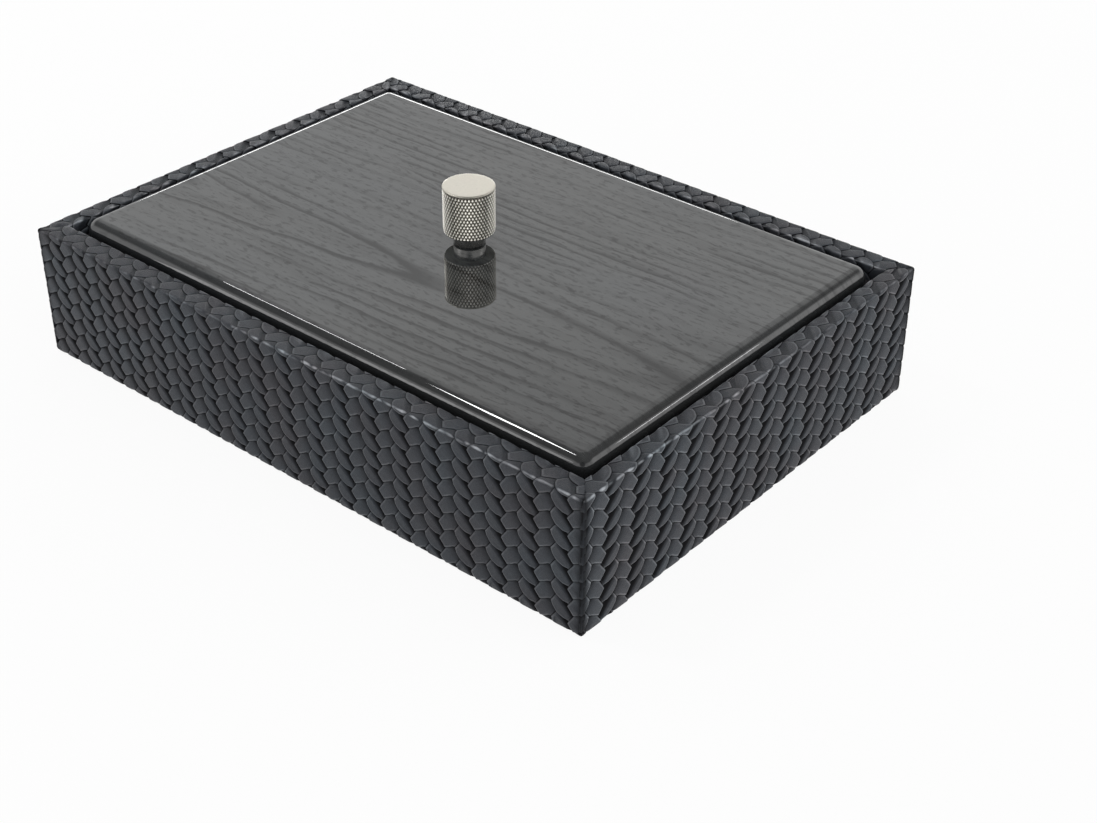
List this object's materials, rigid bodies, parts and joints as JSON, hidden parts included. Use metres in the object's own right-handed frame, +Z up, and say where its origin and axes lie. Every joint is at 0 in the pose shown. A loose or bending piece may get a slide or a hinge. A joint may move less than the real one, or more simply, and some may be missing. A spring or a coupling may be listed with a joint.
{
  "type": "cufflink box with a lift-off lid",
  "caption": "Low rectangular cufflink box clad in woven-look embossed leather, with a lacquered wood lid set inside the rim, a knurled metal knob and a divided suede lining.",
  "frame": {"origin": "centre of the flat underside", "axes": "+X along the case to the right, +Y to the back, +Z up along the knob"},
  "size_m": [0.25, 0.18, 0.0744],
  "materials": {
    "embossed_leather": "charcoal leather embossed with a woven relief, satin",
    "wall_board": "plain medium density fibreboard",
    "base_cloth": "black non-slip cloth",
    "suede_lining": "charcoal suede-like lining over card",
    "lacquered_wood": "dark grey stained oak under clear gloss lacquer",
    "satin_nickel": "satin nickel plate, diamond knurled",
    "polished_nickel": "polished nickel plate",
    "plain_steel": "zinc plated steel"
  },
  "bodies": {
    "case": {"front_leather": "embossed_leather", "back_leather": "embossed_leather", "left_leather": "embossed_leather", "right_leather": "embossed_leather", "front_wall": "wall_board", "back_wall": "wall_board", "left_wall": "wall_board", "right_wall": "wall_board", "base_board": "wall_board", "base_cover": "base_cloth", "front_lining": "suede_lining", "back_lining": "suede_lining", "left_lining": "suede_lining", "right_lining": "suede_lining", "floor_lining": "suede_lining", "long_divider_1": "suede_lining", "long_divider_2": "suede_lining", "cross_divider_1": "suede_lining", "cross_divider_2": "suede_lining", "cross_divider_3": "suede_lining"},
    "lid": {"lid_panel": "lacquered_wood", "lid_locating_board": "wall_board", "lid_lining": "suede_lining", "knob_head": "satin_nickel", "knob_neck": "polished_nickel", "knob_washer": "plain_steel", "knob_screw": "plain_steel"}
  },
  "joints": [
    {"name": "lid_lift", "type": "slide", "parent": "case", "child": "lid", "axis": [0, 0, 1], "range_m": [0, 0.1]}
  ]
}
